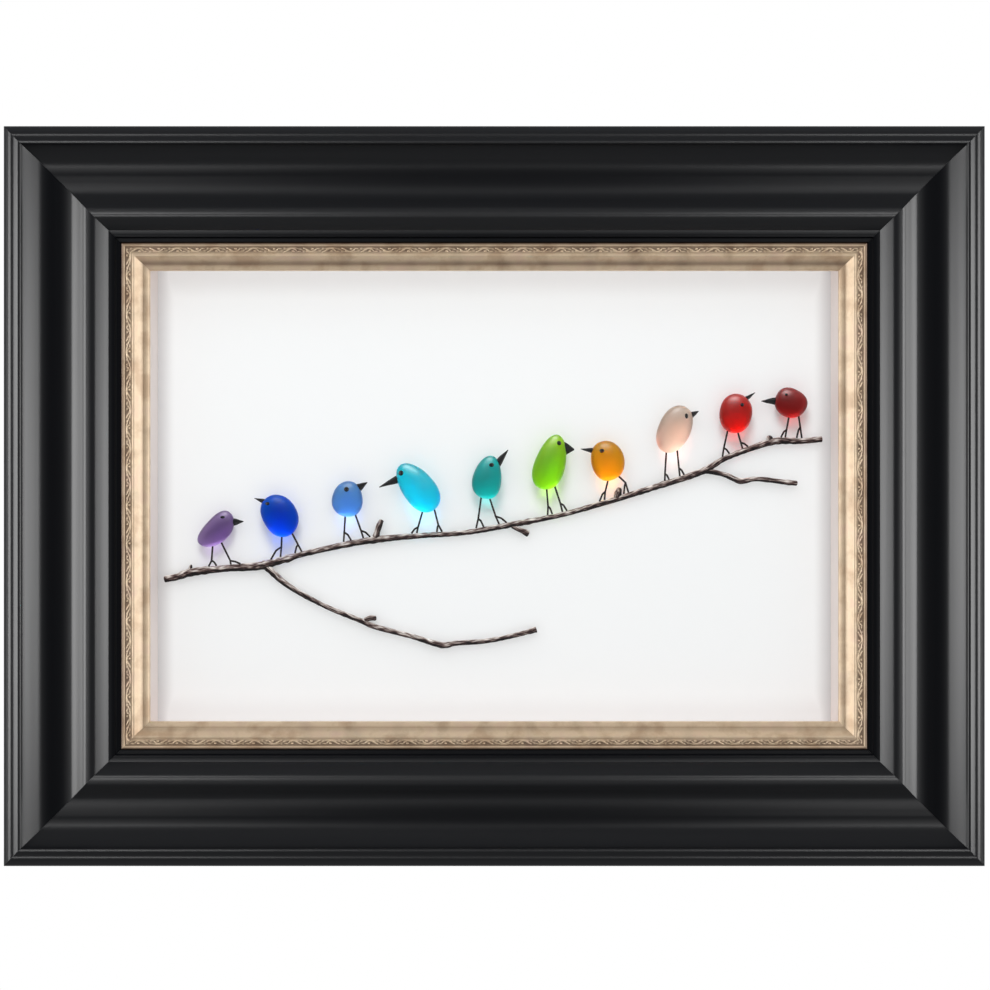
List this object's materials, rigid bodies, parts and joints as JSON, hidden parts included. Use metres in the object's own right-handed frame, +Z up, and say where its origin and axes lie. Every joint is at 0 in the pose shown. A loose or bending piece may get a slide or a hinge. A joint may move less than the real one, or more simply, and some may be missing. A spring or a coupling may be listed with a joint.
{
  "type": "framed sea glass art",
  "caption": "Open shadow box with a deep black scoop frame and a gold liner, holding sea-glass birds with wire legs on a forked twig against a white board, to hang on a wall.",
  "frame": {"origin": "middle of the top rail's flat back face, on the wall plane", "axes": "+Z up; +X to the right as seen from the front; the picture faces -Y and its back faces +Y, towards the wall"},
  "size_m": [0.4416, 0.043, 0.3331],
  "materials": {
    "lacquered_wood": "satin black lacquer",
    "gold_leafed_wood": "champagne gold leaf",
    "art_board": "matt white",
    "box_wall": "matt white",
    "hardboard": "raw hardboard",
    "zinc_steel": "zinc plated",
    "twig_bark": "rough bark",
    "black_stone": "split black stone",
    "annealed_wire": "dark annealed wire",
    "glass_purple": "frosted by tumbling",
    "glass_blue": "frosted by tumbling",
    "glass_periwinkle": "frosted by tumbling",
    "glass_cyan": "frosted by tumbling",
    "glass_teal": "frosted by tumbling",
    "glass_green": "frosted by tumbling",
    "glass_orange": "frosted by tumbling",
    "glass_cream": "frosted by tumbling",
    "glass_red": "frosted by tumbling",
    "glass_crimson": "frosted by tumbling"
  },
  "bodies": {
    "root": {"rail_top": "lacquered_wood", "rail_right": "lacquered_wood", "rail_bottom": "lacquered_wood", "rail_left": "lacquered_wood", "liner_top": "gold_leafed_wood", "liner_right": "gold_leafed_wood", "liner_bottom": "gold_leafed_wood", "liner_left": "gold_leafed_wood", "box_wall_left": "box_wall", "box_wall_right": "box_wall", "box_wall_bottom": "box_wall", "box_wall_top": "box_wall", "art_board": "art_board", "back_panel": "hardboard", "sawtooth_hanger": "zinc_steel", "branch": "twig_bark", "pebble_purple": "glass_purple", "beak_purple": "black_stone", "leg_left_purple": "annealed_wire", "leg_right_purple": "annealed_wire", "pebble_blue": "glass_blue", "beak_blue": "black_stone", "leg_left_blue": "annealed_wire", "leg_right_blue": "annealed_wire", "pebble_periwinkle": "glass_periwinkle", "beak_periwinkle": "black_stone", "leg_left_periwinkle": "annealed_wire", "leg_right_periwinkle": "annealed_wire", "pebble_cyan": "glass_cyan", "beak_cyan": "black_stone", "leg_left_cyan": "annealed_wire", "leg_right_cyan": "annealed_wire", "pebble_teal": "glass_teal", "beak_teal": "black_stone", "leg_left_teal": "annealed_wire", "leg_right_teal": "annealed_wire", "pebble_green": "glass_green", "beak_green": "black_stone", "leg_left_green": "annealed_wire", "leg_right_green": "annealed_wire", "pebble_orange": "glass_orange", "beak_orange": "black_stone", "leg_left_orange": "annealed_wire", "leg_right_orange": "annealed_wire", "pebble_cream": "glass_cream", "beak_cream": "black_stone", "leg_left_cream": "annealed_wire", "leg_right_cream": "annealed_wire", "pebble_red": "glass_red", "beak_red": "black_stone", "leg_left_red": "annealed_wire", "leg_right_red": "annealed_wire", "pebble_crimson": "glass_crimson", "beak_crimson": "black_stone", "leg_left_crimson": "annealed_wire", "leg_right_crimson": "annealed_wire"}
  },
  "joints": []
}
